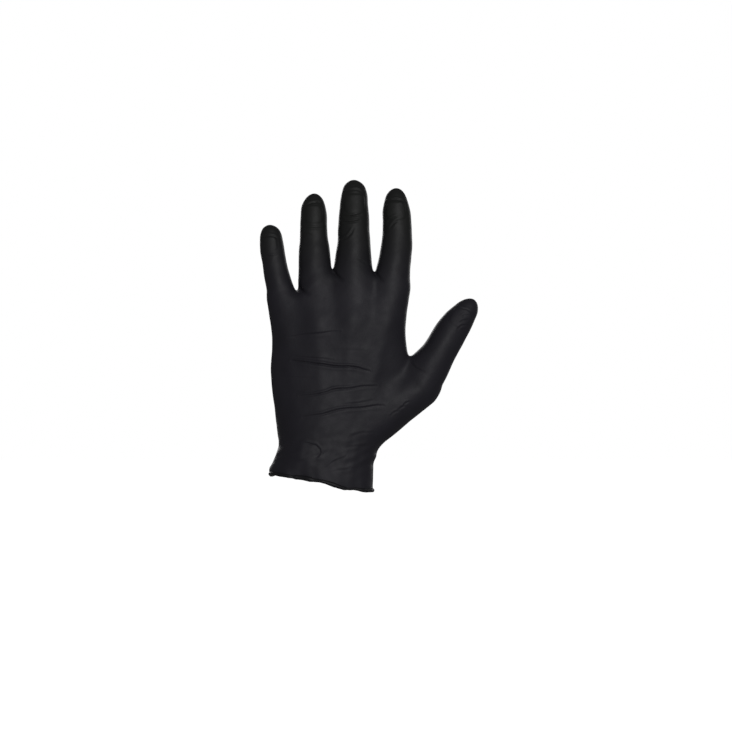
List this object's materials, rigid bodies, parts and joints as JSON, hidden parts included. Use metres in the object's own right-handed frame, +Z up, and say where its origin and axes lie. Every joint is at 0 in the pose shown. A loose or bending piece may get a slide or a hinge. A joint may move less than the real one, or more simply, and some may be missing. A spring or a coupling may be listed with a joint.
{
  "type": "disposable glove",
  "caption": "Thin black dipped nitrile glove on the form of an open left hand, with a rolled cuff; it folds at the wrist, knuckles and finger joints.",
  "frame": {"origin": "centre of the cuff's opening, where the hand goes in", "axes": "+Z up to the fingertips, +X to the thumb's side, -Y away from the back of the hand"},
  "size_m": [0.1541, 0.042, 0.2223],
  "materials": {
    "film": "satin nitrile film",
    "bead": "satin rolled nitrile rim"
  },
  "bodies": {
    "cuff": {"rolled_bead": "bead", "cuff_sleeve": "film", "wrist_fold": "film"},
    "palm": {"palm": "film", "knuckle_fold": "film", "thumb_base_fold": "film"},
    "knuckles": {"knuckles": "film", "little_middle_fold": "film", "ring_middle_fold": "film", "middle_middle_fold": "film", "index_middle_fold": "film"},
    "little_middle": {"little_middle": "film", "little_end_fold": "film"},
    "little_end": {"little_end": "film"},
    "ring_middle": {"ring_middle": "film", "ring_end_fold": "film"},
    "ring_end": {"ring_end": "film"},
    "middle_middle": {"middle_middle": "film", "middle_end_fold": "film"},
    "middle_end": {"middle_end": "film"},
    "index_middle": {"index_middle": "film", "index_end_fold": "film"},
    "index_end": {"index_end": "film"},
    "thumb_middle": {"thumb_middle": "film", "thumb_end_fold": "film"},
    "thumb_end": {"thumb_end": "film"}
  },
  "joints": [
    {"name": "wrist_flex", "type": "hinge", "parent": "cuff", "child": "palm", "pos_m": [0.003, 0, 0.031], "axis": [-1, 0, 0], "range_deg": [-50, 60], "stiffness_Nm_per_rad": 0.02, "deforming": ["wrist_fold"]},
    {"name": "knuckles_flex", "type": "hinge", "parent": "palm", "child": "knuckles", "pos_m": [0.011, 0, 0.11], "axis": [-0.9877, 0, -0.1564], "range_deg": [0, 75], "stiffness_Nm_per_rad": 0.008, "deforming": ["knuckle_fold"]},
    {"name": "thumb_base_flex", "type": "hinge", "parent": "palm", "child": "thumb_middle", "pos_m": [0.079, 0.0035, 0.078], "axis": [-0.5446, 0, 0.8387], "range_deg": [0, 50], "stiffness_Nm_per_rad": 0.003, "deforming": ["thumb_base_fold"]},
    {"name": "thumb_end_flex", "type": "hinge", "parent": "thumb_middle", "child": "thumb_end", "pos_m": [0.09, 0.0025, 0.1045], "axis": [-0.8572, 0, 0.515], "range_deg": [0, 70], "stiffness_Nm_per_rad": 0.0015, "deforming": ["thumb_end_fold"]},
    {"name": "little_middle_flex", "type": "hinge", "parent": "knuckles", "child": "little_middle", "pos_m": [-0.0316, 0, 0.144], "axis": [-0.9848, 0, -0.1736], "range_deg": [0, 90], "stiffness_Nm_per_rad": 0.002, "deforming": ["little_middle_fold"]},
    {"name": "little_end_flex", "type": "hinge", "parent": "little_middle", "child": "little_end", "pos_m": [-0.0348, 0, 0.162], "axis": [-0.9848, 0, -0.1736], "range_deg": [0, 60], "stiffness_Nm_per_rad": 0.001, "deforming": ["little_end_fold"]},
    {"name": "ring_middle_flex", "type": "hinge", "parent": "knuckles", "child": "ring_middle", "pos_m": [-0.0056, 0, 0.1625], "axis": [-0.9997, 0, -0.0262], "range_deg": [0, 90], "stiffness_Nm_per_rad": 0.002, "deforming": ["ring_middle_fold"]},
    {"name": "ring_end_flex", "type": "hinge", "parent": "ring_middle", "child": "ring_end", "pos_m": [-0.0061, 0, 0.1815], "axis": [-0.9997, 0, -0.0262], "range_deg": [0, 60], "stiffness_Nm_per_rad": 0.001, "deforming": ["ring_end_fold"]},
    {"name": "middle_middle_flex", "type": "hinge", "parent": "knuckles", "child": "middle_middle", "pos_m": [0.0219, 0, 0.1635], "axis": [-0.9999, 0, 0.014], "range_deg": [0, 90], "stiffness_Nm_per_rad": 0.002, "deforming": ["middle_middle_fold"]},
    {"name": "middle_end_flex", "type": "hinge", "parent": "middle_middle", "child": "middle_end", "pos_m": [0.0222, 0, 0.1875], "axis": [-0.9999, 0, 0.014], "range_deg": [0, 60], "stiffness_Nm_per_rad": 0.001, "deforming": ["middle_end_fold"]},
    {"name": "index_middle_flex", "type": "hinge", "parent": "knuckles", "child": "index_middle", "pos_m": [0.0502, 0, 0.1615], "axis": [-0.9877, 0, 0.1564], "range_deg": [0, 90], "stiffness_Nm_per_rad": 0.002, "deforming": ["index_middle_fold"]},
    {"name": "index_end_flex", "type": "hinge", "parent": "index_middle", "child": "index_end", "pos_m": [0.0519, 0, 0.185], "axis": [-0.9877, 0, 0.1564], "range_deg": [0, 60], "stiffness_Nm_per_rad": 0.001, "deforming": ["index_end_fold"]}
  ],
  "couplings": [
    {"joint": "little_end_flex", "follows": "little_middle_flex", "ratio": 0.6666},
    {"joint": "ring_end_flex", "follows": "ring_middle_flex", "ratio": 0.6666},
    {"joint": "middle_end_flex", "follows": "middle_middle_flex", "ratio": 0.6666},
    {"joint": "index_end_flex", "follows": "index_middle_flex", "ratio": 0.6666}
  ]
}
